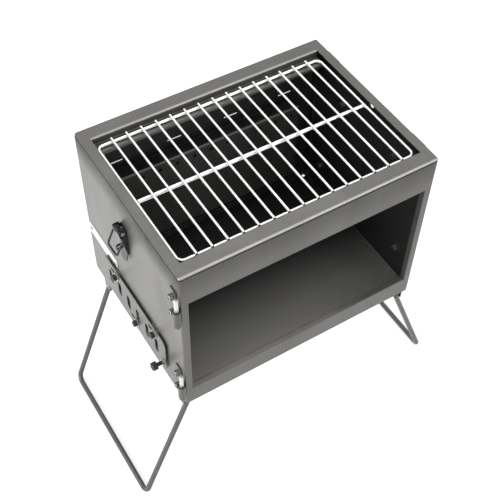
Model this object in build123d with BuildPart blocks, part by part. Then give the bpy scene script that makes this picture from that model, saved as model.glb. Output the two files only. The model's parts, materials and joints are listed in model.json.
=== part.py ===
"""Folding camp wood stove: a sheet steel firebox on two wire U legs, with a lift-out grill.

Frame: X runs along the wide front, the open mouth faces -Y and +Z is up.
The origin is on the ground, at the middle of the stove's outline.
All sizes are millimetres.
"""
import math
import os

from build123d import *

os.makedirs("parts", exist_ok=True)

# Firebox
body_width = 400.0
body_depth = 294.0
body_height = 294.0
sheet = 1.5
bend_radius = 3.0
mouth_width = 376.0
mouth_bottom = 33.5
mouth_top = 236.5
mouth_lip = 8.0
wall_hole_radius = 4.5
wall_hole_height = 275.0
mouth_edge_round = 1.2

# Legs
leg_clearance = 237.0
leg_rod_radius = 4.25
leg_splay = 76.0
leg_front_depth = 12.0
leg_rear_depth = 264.0
leg_foot_bend = 13.0
leg_pivot_inset = 11.0
left_leg_drop = 6.5
right_leg_drop = 20.0
leg_pivot_bend = 5.0
leg_end_stub = 3.2

# Leg brackets and the tabs that carry them
tab_lead = 2.8
bracket_sheet = 2.5
bracket_ear_gap = 0.5
bracket_ear_width = 17.0
bracket_ear_rim = 7.0
bracket_leaf_length = 5.6
bracket_screw_radius = 1.5
bracket_screw_lift = 3.4
bracket_head_radius = 2.75
bracket_head_height = 3.0

# Top frame
frame_rim = 3.2
frame_gap = 2.4
side_border = 14.0
end_border = 23.5
locating_lip = 8.5
ledge_drop = 12.0
ledge_bend_radius = 2.5
ledge_lip = 5.5
front_ledge_depth = 10.0
rear_ledge_depth = 18.5
frame_edge_round = 2.0

# Grill
rim_wire_radius = 2.5
rim_side_gap = 3.5
rim_end_gap = 8.0
rim_corner_radius = 9.0
grill_shift = 2.0
bar_radius = 2.0
bar_count = 15
bar_pitch = 22.75
crossbar_radius = 3.0

# Secondary air duct and rear wall
duct_width = 316.0
duct_depth = 24.5
duct_bottom = 45.0
duct_top = 198.5
duct_top_fall = 5.5
duct_hole_radius = 3.0
duct_hole_count = 11
duct_hole_pitch = 29.0
duct_hole_drop = 14.5
rear_slot_length = 24.0
rear_slot_width = 2.5
rear_slot_count = 4
rear_slot_pitch = 97.5
rear_slot_height = 210.0
inlet_slot_length = 60.0
inlet_slot_width = 8.0
inlet_slot_count = 3
inlet_slot_pitch = 90.0
inlet_slot_height = 66.0
rear_flange = 12.0
rear_flange_top = 276.0
floor_flange = 10.0
corner_relief = 5.0

# Door hinge halves at the front left corner
hinge_barrel_radius = 5.5
hinge_barrel_length = 34.0
hinge_barrel_round = 3.5
hinge_pin_radius = 3.0
hinge_pin_exposed = 22.0
hinge_pin_point = 1.0
hinge_seat_radius = 3.5
hinge_seat_depth = 24.0
hinge_ring_radius = 4.7
hinge_ring = 2.0
hinge_leaf_height = 60.0
hinge_leaf_width = 23.0
hinge_leaf_sheet = 2.0
hinge_leaf_clearance = 1.25
hinge_screw_depth = 15.5
hinge_screw_pitch = 32.0
upper_hinge_height = 199.0
lower_hinge_height = 20.0
small_screw_radius = 2.5
small_head_radius = 4.6
small_head_height = 6.0
small_screw_end = 1.5
small_nut_flats = 8.0
small_nut_height = 4.0

# Air damper on the left wall
damper_front = 49.0
damper_rear = 241.0
damper_bottom = 24.0
damper_top = 92.0
damper_sheet = 1.5
damper_corner = 11.0
damper_gap = 0.3
damper_spacer = 2.0
damper_travel = 16.0
vent_count = 6
vent_pitch = 29.0
vent_width = 10.0
vent_length = 30.0
vent_height = 56.0
vent_shift = 6.0
guide_spread = 59.5
guide_depth = 140.0
guide_upper_height = 80.0
guide_lower_height = 35.0
guide_slot_clearance = 0.3
big_screw_radius = 3.0
big_head_radius = 5.0
big_head_height = 6.0
big_nut_flats = 10.0
big_nut_height = 4.5
guide_washer_radius = 6.5
guide_washer_sheet = 1.2
knob_depth = 58.5
knob_height = 36.5
knob_reach = 11.2
knob_head_radius = 6.5
knob_head_height = 8.0
knob_nut_height = 3.0

# Nameplate, left bare
nameplate_front = 198.0
nameplate_rear = 290.0
nameplate_bottom = 93.5
nameplate_top = 115.5
nameplate_sheet = 1.0
nameplate_corner = 2.0
nameplate_rivet_radius = 1.5
nameplate_rivet_inset = 6.0
nameplate_rivet_slope = 30.0

# Toggle latch on the left wall
latch_depth = 154.5
latch_width = 20.0
latch_sheet = 1.2
latch_top = 241.0
latch_fold = 191.0
latch_tip = 173.0
latch_standoff_top = 14.0
latch_standoff_fold = 3.8
latch_standoff_tip = 6.5
latch_cheek_back = 3.0
latch_top_round = 3.0
latch_tab_round = 8.0
latch_base_bottom = 186.0
latch_base_gap = 1.3
latch_ear_radius = 3.5
lever_ear_play = 0.4
lever_pivot_height = 236.0
lever_pivot_reach = 7.3
lever_pin_radius = 2.0
lever_pin_head_radius = 3.0
lever_pin_head = 0.8
bail_pivot_height = 228.0
bail_pivot_reach = 9.0
bail_wire_radius = 1.6
bail_length = 28.8
bail_angle = 24.0
bail_corner = 4.0
bail_side_gap = 2.0
staple_height = 202.0
staple_width = 10.0
staple_reach = 15.0
staple_sheet = 2.0
staple_hole_radius = 2.5
staple_slot_clearance = 1.0
staple_slot_extra = 3.0
latch_rivet_radius = 2.5
latch_rivet_head = 0.7
latch_rivet_low = 191.5
latch_rivet_high = 221.0

# Side plate outside the right wall
plate_width = 240.0
plate_bottom = 40.0
plate_shoulder = 250.0
plate_top_gap = 3.0
plate_ear = 32.0
plate_sheet = 2.0
plate_low_spread = 104.0
plate_low_height = 61.0
plate_high_spread = 63.5
plate_high_height = 228.0
plate_corner = 6.0

# Fits
running_clearance = 0.05
body_gap = 0.3
clip_radius = 6.2
clip_width = 2.0
rivet_head_height = 0.8

# Places that follow from the sizes
body_z = leg_clearance
top_z = body_z + body_height
left_x = -body_width / 2
right_x = body_width / 2
front_y = (hinge_barrel_radius - body_depth) / 2
rear_y = front_y + body_depth
middle_y = front_y + body_depth / 2
wall_height = body_height - frame_rim - frame_gap
inner_width = body_width - 2 * sheet
inner_depth = body_depth - 2 * sheet
frame_opening_width = body_width - 2 * side_border
frame_opening_depth = body_depth - 2 * end_border
ledge_z = top_z - ledge_drop
grill_y = middle_y - grill_shift
rim_z = ledge_z + rim_wire_radius
bar_z = rim_z + rim_wire_radius + bar_radius
crossbar_z = bar_z - bar_radius - crossbar_radius

left_face = Plane(origin=(left_x, 0, body_z), x_dir=(0, -1, 0), z_dir=(-1, 0, 0))
right_face = Plane(origin=(right_x, 0, body_z), x_dir=(0, 1, 0), z_dir=(1, 0, 0))
front_face = Plane(origin=(0, front_y, body_z), x_dir=(1, 0, 0), z_dir=(0, -1, 0))
rear_face = Plane(origin=(0, rear_y, body_z), x_dir=(-1, 0, 0), z_dir=(0, 1, 0))


def on_left(depth, height):
    """A spot on the left wall, from its depth behind the front and its height on the body."""
    return (-(front_y + depth), height)


def on_right(depth, height):
    """The same spot on the right wall."""
    return (front_y + depth, height)


def spread(count, pitch):
    """Offsets of a row of equal steps about its middle."""
    return [(index - (count - 1) / 2) * pitch for index in range(count)]


def save(shape, name):
    """Label one finished piece and write its STEP file."""
    shape.label = name
    export_step(shape, "parts/" + name + ".step")


hinge_spots = [
    on_left(hinge_screw_depth, low + hinge_leaf_height / 2 + side * hinge_screw_pitch / 2)
    for low in (upper_hinge_height, lower_hinge_height)
    for side in (-1, 1)
]
guide_spots = [
    on_left(guide_depth - guide_spread, guide_upper_height),
    on_left(guide_depth, guide_lower_height),
    on_left(guide_depth + guide_spread, guide_upper_height),
]
vent_depths = [body_depth / 2 + offset for offset in spread(vent_count, vent_pitch)]
nameplate_middle_height = (nameplate_bottom + nameplate_top) / 2
nameplate_spots = [
    on_left(nameplate_front + nameplate_rivet_inset, nameplate_middle_height),
    on_left(nameplate_rear - nameplate_rivet_inset, nameplate_middle_height),
]
latch_rivet_spots = [on_left(latch_depth, latch_rivet_low), on_left(latch_depth, latch_rivet_high)]
plate_spots = [
    on_right(body_depth / 2 + side * reach, height)
    for reach, height in ((plate_low_spread, plate_low_height), (plate_high_spread, plate_high_height))
    for side in (-1, 1)
]
ear_near_depth = leg_front_depth + leg_pivot_bend + bracket_ear_gap
ear_far_depth = ear_near_depth + bracket_sheet
tab_near_depth = leg_front_depth - tab_lead
tab_far_depth = ear_far_depth + bracket_leaf_length
tab_width = tab_far_depth - tab_near_depth
tab_middle = (tab_near_depth + tab_far_depth) / 2
tab_depths = (tab_middle, leg_front_depth + leg_rear_depth - tab_middle)
bracket_screw_depth = ear_far_depth + bracket_leaf_length / 2
bracket_screw_depths = (bracket_screw_depth, leg_front_depth + leg_rear_depth - bracket_screw_depth)


def stopping_tab(drop):
    """How far a tab hangs down to stop the open leg that turns at this drop below the walls."""
    arm_slope = (leg_splay + leg_pivot_inset) / (leg_clearance - drop - leg_rod_radius)
    arm_side = leg_rod_radius * math.sqrt(1 + arm_slope ** 2)
    return drop + (leg_pivot_inset - sheet - body_gap - arm_side) / arm_slope


left_tab_drop = stopping_tab(left_leg_drop)
right_tab_drop = stopping_tab(right_leg_drop)


def make_firebox_shell():
    """One bent sheet: left wall, front with its mouth, and right wall, with a tab at each foot."""
    with BuildPart() as shell:
        with BuildSketch(Plane.XY.offset(body_z)) as wrap:
            with Locations((0, middle_y)):
                Rectangle(body_width, body_depth)
            front_corners = wrap.vertices().group_by(Axis.Y)[0]
            fillet(front_corners, bend_radius)
        extrude(amount=wall_height)
        with BuildSketch(Plane.XY.offset(body_z)) as hollow:
            with Locations((0, middle_y + sheet)):
                Rectangle(inner_width, body_depth)
            front_corners = hollow.vertices().group_by(Axis.Y)[0]
            fillet(front_corners, bend_radius - sheet)
        extrude(amount=wall_height, mode=Mode.SUBTRACT)
        mouth_height = mouth_top - mouth_bottom
        mouth_middle = (mouth_top + mouth_bottom) / 2
        with BuildSketch(front_face) as lips:
            with Locations((0, mouth_middle)):
                Rectangle(mouth_width + 2 * sheet, mouth_height + 2 * sheet)
        extrude(amount=-(sheet + mouth_lip))
        with BuildSketch(front_face) as mouth:
            with Locations((0, mouth_middle)):
                Rectangle(mouth_width, mouth_height)
        extrude(amount=-(sheet + mouth_lip), mode=Mode.SUBTRACT)
        front_sheet = shell.faces().filter_by(Plane.XZ).sort_by(Axis.Y)[0]
        fillet(front_sheet.inner_wires()[0].edges(), mouth_edge_round)
        for face, spot, tab_drop in ((left_face, on_left, left_tab_drop), (right_face, on_right, right_tab_drop)):
            with BuildSketch(face) as tabs:
                for depth in tab_depths:
                    with Locations(spot(depth, -tab_drop / 2)):
                        Rectangle(tab_width, tab_drop)
            extrude(amount=-sheet)
            with BuildSketch(face) as tab_holes:
                with Locations(*[spot(depth, bracket_screw_lift - tab_drop) for depth in bracket_screw_depths]):
                    Circle(bracket_screw_radius)
            extrude(amount=-sheet, mode=Mode.SUBTRACT)
        with BuildSketch(left_face) as left_cuts:
            for depth in vent_depths:
                with Locations(Location(on_left(depth - vent_shift / 2, vent_height), 90)):
                    SlotOverall(vent_length, vent_width)
            with Locations(*hinge_spots):
                Circle(small_screw_radius)
            with Locations(*guide_spots):
                Circle(big_screw_radius)
            with Locations(*nameplate_spots):
                Circle(nameplate_rivet_radius)
            with Locations(*latch_rivet_spots):
                Circle(latch_rivet_radius / 2)
        extrude(amount=-sheet, mode=Mode.SUBTRACT)
        with BuildSketch(right_face) as right_cuts:
            with Locations(*plate_spots):
                Circle(small_screw_radius)
            with Locations(on_right(body_depth / 2, wall_hole_height)):
                Circle(wall_hole_radius)
        extrude(amount=-sheet, mode=Mode.SUBTRACT)
    save(shell.part, "firebox_shell")


def make_rear_wall():
    """Rear panel between the side walls, with a flange on each side and its air slots."""
    with BuildPart() as wall:
        with BuildSketch(rear_face) as panel:
            with Locations((0, wall_height / 2)):
                Rectangle(inner_width, wall_height)
            with Locations(*[(offset, rear_slot_height) for offset in spread(rear_slot_count, rear_slot_pitch)]):
                SlotOverall(rear_slot_length, rear_slot_width, mode=Mode.SUBTRACT)
            with Locations(*[(offset, inlet_slot_height) for offset in spread(inlet_slot_count, inlet_slot_pitch)]):
                SlotOverall(inlet_slot_length, inlet_slot_width, mode=Mode.SUBTRACT)
        extrude(amount=-sheet)
        flange_height = rear_flange_top - floor_flange
        with BuildSketch(rear_face.offset(-sheet)) as flanges:
            for side in (-1, 1):
                with Locations((side * (inner_width - sheet) / 2, floor_flange + flange_height / 2)):
                    Rectangle(sheet, flange_height)
        extrude(amount=-rear_flange)
    save(wall.part, "rear_wall")


def make_floor_pan():
    """Tray that closes the bottom: turned-up flanges all round and a relief cut at each corner."""
    with BuildPart() as pan:
        with BuildSketch(Plane.XY.offset(body_z)) as tray:
            with Locations((0, middle_y)):
                Rectangle(inner_width, inner_depth)
        extrude(amount=floor_flange)
        with BuildSketch(Plane.XY.offset(body_z + sheet)) as inside:
            with Locations((0, middle_y)):
                Rectangle(inner_width - 2 * sheet, inner_depth - 2 * sheet)
        extrude(amount=floor_flange, mode=Mode.SUBTRACT)
        with BuildSketch(Plane.XY.offset(body_z)) as reliefs:
            with Locations((0, middle_y)):
                with GridLocations(inner_width - corner_relief, inner_depth - corner_relief, 2, 2):
                    Rectangle(corner_relief, corner_relief)
        extrude(amount=floor_flange, mode=Mode.SUBTRACT)
    save(pan.part, "floor_pan")


def make_top_frame():
    """Folded top: flat borders, an outer rim, a lip inside the walls and two folded ledges for the grill."""
    with BuildPart() as frame:
        with BuildSketch(Plane.XY.offset(top_z - frame_rim)) as outline:
            with Locations((0, middle_y)):
                RectangleRounded(body_width, body_depth, bend_radius)
        extrude(amount=frame_rim)
        top_edges = frame.faces().sort_by(Axis.Z)[-1].edges()
        fillet(top_edges, frame_edge_round)
        with BuildSketch(Plane.XY.offset(top_z - frame_rim)) as underside:
            with Locations((0, middle_y)):
                Rectangle(inner_width, inner_depth)
        extrude(amount=frame_rim - sheet, mode=Mode.SUBTRACT)
        with BuildSketch(Plane.XY.offset(top_z - sheet)) as lip:
            with Locations((0, middle_y)):
                RectangleRounded(inner_width, inner_depth, bend_radius - sheet)
                Rectangle(inner_width - 2 * sheet, inner_depth - 2 * sheet, mode=Mode.SUBTRACT)
        extrude(amount=-(frame_rim + locating_lip - sheet))
        with BuildSketch(Plane.XY.offset(top_z)) as opening:
            with Locations((0, middle_y)):
                Rectangle(frame_opening_width, frame_opening_depth + 2 * ledge_bend_radius)
        extrude(amount=-sheet, mode=Mode.SUBTRACT)
        for side, depth in ((-1, front_ledge_depth), (1, rear_ledge_depth)):
            edge_y = middle_y + side * frame_opening_depth / 2
            section = Plane(origin=(-frame_opening_width / 2, edge_y, top_z), x_dir=(0, -side, 0), z_dir=(-side, 0, 0))
            lip_bottom = -ledge_drop - ledge_lip
            outer_corners = ((0, 0), (-sheet, -ledge_drop - sheet), (depth, -ledge_drop))
            inner_corners = ((-sheet, -sheet), (0, -ledge_drop), (depth - sheet, -ledge_drop - sheet))
            with BuildSketch(section) as fold:
                with BuildLine():
                    Polyline((-ledge_bend_radius, 0), outer_corners[0], inner_corners[1], outer_corners[2],
                             (depth, lip_bottom), (depth - sheet, lip_bottom), inner_corners[2],
                             outer_corners[1], inner_corners[0], (-ledge_bend_radius, -sheet), close=True)
                make_face()
                for corner in outer_corners:
                    fillet(fold.vertices().sort_by_distance(corner)[0], ledge_bend_radius)
                for corner in inner_corners:
                    fillet(fold.vertices().sort_by_distance(corner)[0], ledge_bend_radius - sheet)
            extrude(amount=-side * frame_opening_width)
    save(frame.part, "top_frame")


def make_air_duct():
    """Secondary air duct on the rear wall, a folded channel with a row of jets near its top."""
    with BuildPart() as duct:
        wall_y = rear_y - sheet
        end_plane = Plane(origin=(-duct_width / 2, wall_y, body_z), x_dir=(0, -1, 0), z_dir=(-1, 0, 0))
        with BuildSketch(end_plane) as outside:
            with BuildLine():
                Polyline((0, duct_bottom), (duct_depth, duct_bottom), (duct_depth, duct_top),
                         (0, duct_top - duct_top_fall), close=True)
            make_face()
            front_corners = outside.vertices().group_by(Axis.X)[-1]
            fillet(front_corners, 2 * sheet)
        extrude(amount=-duct_width)
        with BuildSketch(end_plane.offset(-sheet)) as inside:
            with BuildLine():
                Polyline((0, duct_bottom + sheet), (duct_depth - sheet, duct_bottom + sheet),
                         (duct_depth - sheet, duct_top - sheet), (0, duct_top - duct_top_fall - sheet),
                         close=True)
            make_face()
            front_corners = inside.vertices().group_by(Axis.X)[-1]
            fillet(front_corners, sheet)
        extrude(amount=-(duct_width - 2 * sheet), mode=Mode.SUBTRACT)
        jets = [(offset, duct_top - duct_hole_drop) for offset in spread(duct_hole_count, duct_hole_pitch)]
        with BuildSketch(rear_face.offset(-sheet - duct_depth)) as holes:
            with Locations(*jets):
                Circle(duct_hole_radius)
        extrude(amount=sheet, mode=Mode.SUBTRACT)
    save(duct.part, "air_duct")


def make_hinge_half(low, prefix):
    """Fixed half of a lift-off door hinge: leaf and barrel, a washer ring and the upright pin."""
    axis_x = left_x - hinge_barrel_radius
    barrel_plane = Plane(origin=(axis_x, front_y, body_z + low))
    with BuildPart() as half:
        with BuildSketch(barrel_plane) as barrel:
            Circle(hinge_barrel_radius)
        extrude(amount=hinge_barrel_length)
        low_edge = half.faces().sort_by(Axis.Z)[0].edges()
        fillet(low_edge, hinge_barrel_round)
        with BuildSketch(left_face) as leaf:
            cut_back = hinge_barrel_radius + hinge_leaf_clearance
            full_height = low + hinge_leaf_height / 2
            with Locations(on_left((cut_back + hinge_leaf_width) / 2, full_height)):
                Rectangle(hinge_leaf_width - cut_back, hinge_leaf_height)
            rear_corners = leaf.vertices().group_by(Axis.X)[0]
            fillet(rear_corners, hinge_leaf_clearance)
            with Locations(on_left(cut_back / 2, low + hinge_barrel_length / 2)):
                Rectangle(cut_back, hinge_barrel_length - 2 * hinge_barrel_round)
        extrude(amount=hinge_leaf_sheet)
        with BuildSketch(left_face) as leaf_holes:
            with Locations(*hinge_spots):
                Circle(small_screw_radius)
        extrude(amount=hinge_leaf_sheet, mode=Mode.SUBTRACT)
        with BuildSketch(barrel_plane.offset(hinge_barrel_length)) as socket:
            Circle(hinge_seat_radius)
        extrude(amount=-hinge_seat_depth, mode=Mode.SUBTRACT)
    save(half.part, prefix + "_hinge_half")
    ring_plane = barrel_plane.offset(hinge_barrel_length)
    with BuildPart() as ring:
        with BuildSketch(ring_plane) as band:
            Circle(hinge_ring_radius)
            Circle(hinge_seat_radius, mode=Mode.SUBTRACT)
        extrude(amount=hinge_ring)
    save(ring.part, prefix + "_hinge_washer")
    with BuildPart() as pin:
        with BuildSketch(ring_plane.offset(-hinge_seat_depth)) as seat:
            Circle(hinge_seat_radius)
        extrude(amount=hinge_seat_depth + hinge_ring)
        with BuildSketch(ring_plane.offset(hinge_ring)) as shaft:
            Circle(hinge_pin_radius)
        extrude(amount=hinge_pin_exposed)
        tip_edge = pin.faces().sort_by(Axis.Z)[-1].edges()
        fillet(tip_edge, hinge_pin_point)
    save(pin.part, prefix + "_hinge_pin")


def make_cap_screws(name, seat, spots, head_radius, head_height, shank_radius, grip):
    """Socket cap screws whose heads stand on the plane seat, with shanks that reach back by grip."""
    with BuildPart() as screws:
        with BuildSketch(seat) as heads:
            with Locations(*spots):
                Circle(head_radius)
        extrude(amount=head_height)
        outer_rims = screws.edges().group_by(Axis(seat.origin, seat.z_dir))[-1]
        chamfer(outer_rims, head_radius / 10)
        with BuildSketch(seat.offset(head_height)) as sockets:
            with Locations(*spots):
                RegularPolygon(head_radius / 2, 6, major_radius=False)
        extrude(amount=-head_height / 2, mode=Mode.SUBTRACT)
        with BuildSketch(seat) as shanks:
            with Locations(*spots):
                Circle(shank_radius)
        extrude(amount=-grip)
    save(screws.part, name)


def make_nuts(name, seat, spots, flats, height, hole_radius):
    """Hexagon nuts standing on the plane seat."""
    with BuildPart() as nuts:
        with BuildSketch(seat) as hexagons:
            with Locations(*spots):
                RegularPolygon(flats / 2, 6, major_radius=False)
                Circle(hole_radius, mode=Mode.SUBTRACT)
        extrude(amount=height)
    save(nuts.part, name)


def make_wall_hardware():
    """Screws and nuts of the hinge halves, the right side plate and the damper's guides."""
    make_cap_screws("hinge_screws", left_face.offset(hinge_leaf_sheet), hinge_spots, small_head_radius,
                    small_head_height, small_screw_radius,
                    hinge_leaf_sheet + sheet + small_nut_height + small_screw_end)
    inside_left = Plane(origin=(left_x + sheet, 0, body_z), x_dir=(0, 1, 0), z_dir=(1, 0, 0))
    mirrored_hinges = [(-spot[0], spot[1]) for spot in hinge_spots]
    make_nuts("hinge_nuts", inside_left, mirrored_hinges, small_nut_flats, small_nut_height, small_screw_radius)
    inside_right = Plane(origin=(right_x - sheet, 0, body_z), x_dir=(0, -1, 0), z_dir=(-1, 0, 0))
    make_cap_screws("side_plate_screws", right_face.offset(plate_sheet), plate_spots, small_head_radius,
                    small_head_height, small_screw_radius,
                    plate_sheet + sheet + small_nut_height + small_screw_end)
    mirrored_plate = [(-spot[0], spot[1]) for spot in plate_spots]
    make_nuts("side_plate_nuts", inside_right, mirrored_plate, small_nut_flats, small_nut_height,
              small_screw_radius)
    washer_stand = damper_spacer + 2 * damper_gap + damper_sheet
    with BuildPart() as washers:
        for seat, thickness in ((left_face, damper_spacer), (left_face.offset(washer_stand), guide_washer_sheet)):
            with BuildSketch(seat) as rings:
                with Locations(*guide_spots):
                    Circle(guide_washer_radius)
                    Circle(big_screw_radius, mode=Mode.SUBTRACT)
            extrude(amount=thickness)
    save(washers.part, "damper_guide_washers")
    head_stand = washer_stand + guide_washer_sheet
    make_cap_screws("damper_guide_screws", left_face.offset(head_stand), guide_spots, big_head_radius,
                    big_head_height, big_screw_radius, head_stand + sheet + big_nut_height + small_screw_end)
    mirrored_guides = [(-spot[0], spot[1]) for spot in guide_spots]
    make_nuts("damper_guide_nuts", inside_left, mirrored_guides, big_nut_flats, big_nut_height, big_screw_radius)


def make_side_plate():
    """Plate on the outside of the right wall, with two ears that reach the top edge."""
    with BuildPart() as plate:
        plate_top = body_height - plate_top_gap
        plate_height = plate_top - plate_bottom
        notch_width = plate_width - 2 * plate_ear
        with BuildSketch(right_face) as outline:
            with Locations(on_right(body_depth / 2, plate_bottom + plate_height / 2)):
                Rectangle(plate_width, plate_height)
            fillet(outline.vertices(), plate_corner)
            with Locations(on_right(body_depth / 2, (plate_shoulder + plate_top) / 2)):
                Rectangle(notch_width, plate_top - plate_shoulder, mode=Mode.SUBTRACT)
            with Locations(*plate_spots):
                Circle(small_screw_radius, mode=Mode.SUBTRACT)
        extrude(amount=plate_sheet)
    save(plate.part, "side_plate")


def make_damper():
    """Sliding air damper with its vents and guide slots, and the long screw that is its knob."""
    sliding_face = left_face.offset(damper_spacer + damper_gap)
    with BuildPart() as damper:
        with BuildSketch(sliding_face) as outline:
            middle = on_left((damper_front + damper_rear) / 2, (damper_bottom + damper_top) / 2)
            with Locations(middle):
                RectangleRounded(damper_rear - damper_front, damper_top - damper_bottom, damper_corner)
            for depth in vent_depths:
                with Locations(Location(on_left(depth + vent_shift / 2, vent_height), 90)):
                    SlotOverall(vent_length, vent_width, mode=Mode.SUBTRACT)
            for across, up in guide_spots:
                with Locations((across - damper_travel / 2, up)):
                    slot_width = 2 * (big_screw_radius + guide_slot_clearance)
                    SlotCenterToCenter(damper_travel, slot_width, mode=Mode.SUBTRACT)
            with Locations(on_left(knob_depth, knob_height)):
                Circle(big_screw_radius, mode=Mode.SUBTRACT)
        extrude(amount=damper_sheet)
    save(damper.part, "air_damper")
    knob_seat = sliding_face.offset(damper_sheet)
    knob_spot = [on_left(knob_depth, knob_height)]
    make_cap_screws("damper_knob_screw", knob_seat.offset(knob_reach), knob_spot, knob_head_radius,
                    knob_head_height, big_screw_radius, knob_reach + damper_sheet)
    make_nuts("damper_knob_nut", knob_seat, knob_spot, big_nut_flats, knob_nut_height, big_screw_radius)


def make_nameplate():
    """Bare nameplate and its two dome rivets."""
    with BuildPart() as nameplate:
        with BuildSketch(left_face) as outline:
            middle = on_left((nameplate_front + nameplate_rear) / 2, nameplate_middle_height)
            with Locations(middle):
                RectangleRounded(nameplate_rear - nameplate_front, nameplate_top - nameplate_bottom,
                                 nameplate_corner)
            with Locations(*nameplate_spots):
                Circle(nameplate_rivet_radius, mode=Mode.SUBTRACT)
        extrude(amount=nameplate_sheet)
    save(nameplate.part, "nameplate")
    with BuildPart() as rivets:
        with BuildSketch(left_face.offset(nameplate_sheet)) as heads:
            with Locations(*nameplate_spots):
                Circle(2 * nameplate_rivet_radius)
        extrude(amount=rivet_head_height, taper=nameplate_rivet_slope)
        with BuildSketch(left_face.offset(nameplate_sheet)) as shanks:
            with Locations(*nameplate_spots):
                Circle(nameplate_rivet_radius)
        extrude(amount=-(nameplate_sheet + sheet))
    save(rivets.part, "nameplate_rivets")


latch_y = front_y + latch_depth
latch_side = Plane(origin=(left_x, latch_y, body_z), x_dir=(-1, 0, 0), z_dir=(0, 1, 0))
lever_slope = (latch_standoff_top - latch_standoff_fold) / (latch_top - latch_fold)
base_width = latch_width - 2 * latch_sheet - 2 * latch_base_gap
cap_swing = lever_pivot_reach - sheet - lever_ear_play
cap_rise = latch_top - lever_pivot_height
cap_back = lever_pivot_reach - math.sqrt(cap_swing**2 - cap_rise**2)


def make_latch_base():
    """Riveted base of the toggle latch: two ears for the pivot and an eye for a padlock."""
    with BuildPart() as base:
        base_top = lever_pivot_height + latch_ear_radius
        with BuildSketch(left_face) as foot:
            with Locations(on_left(latch_depth, (latch_base_bottom + base_top) / 2)):
                Rectangle(base_width, base_top - latch_base_bottom)
            with Locations(*latch_rivet_spots):
                Circle(latch_rivet_radius / 2, mode=Mode.SUBTRACT)
        extrude(amount=sheet)
        with BuildSketch(latch_side) as ear:
            with Locations((lever_pivot_reach / 2, lever_pivot_height)):
                Rectangle(lever_pivot_reach, 2 * latch_ear_radius)
            with Locations((lever_pivot_reach, lever_pivot_height)):
                Circle(latch_ear_radius)
                Circle(lever_pin_radius, mode=Mode.SUBTRACT)
        extrude(amount=base_width / 2, both=True)
        with BuildSketch(latch_side) as between:
            with Locations((lever_pivot_reach / 2 + sheet + latch_ear_radius, lever_pivot_height)):
                Rectangle(lever_pivot_reach + 2 * latch_ear_radius, 3 * latch_ear_radius)
        extrude(amount=base_width / 2 - latch_sheet, both=True, mode=Mode.SUBTRACT)
        with BuildSketch(latch_side) as staple:
            with Locations((staple_reach / 2, staple_height)):
                Rectangle(staple_reach, staple_width)
            far_corners = staple.vertices().group_by(Axis.X)[-1]
            fillet(far_corners, staple_width / 3)
            with Locations((staple_reach - staple_hole_radius - staple_sheet / 2, staple_height)):
                Circle(staple_hole_radius, mode=Mode.SUBTRACT)
        extrude(amount=staple_sheet / 2, both=True)
    save(base.part, "latch_base")
    with BuildPart() as rivets:
        with BuildSketch(left_face.offset(sheet)) as heads:
            with Locations(*latch_rivet_spots):
                Circle(latch_rivet_radius)
        extrude(amount=latch_rivet_head)
        with BuildSketch(left_face.offset(sheet)) as shanks:
            with Locations(*latch_rivet_spots):
                Circle(latch_rivet_radius / 2)
        extrude(amount=-2 * sheet)
    save(rivets.part, "latch_rivets")
    with BuildPart() as pin:
        head_face = latch_width / 2 + body_gap
        with BuildSketch(latch_side) as shaft:
            with Locations((lever_pivot_reach, lever_pivot_height)):
                Circle(lever_pin_radius)
        extrude(amount=head_face, both=True)
        for side in (-1, 1):
            with BuildSketch(latch_side.offset(side * head_face)) as head:
                with Locations((lever_pivot_reach, lever_pivot_height)):
                    Circle(lever_pin_head_radius)
            extrude(amount=side * lever_pin_head)
    save(pin.part, "latch_pivot_pin")


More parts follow.
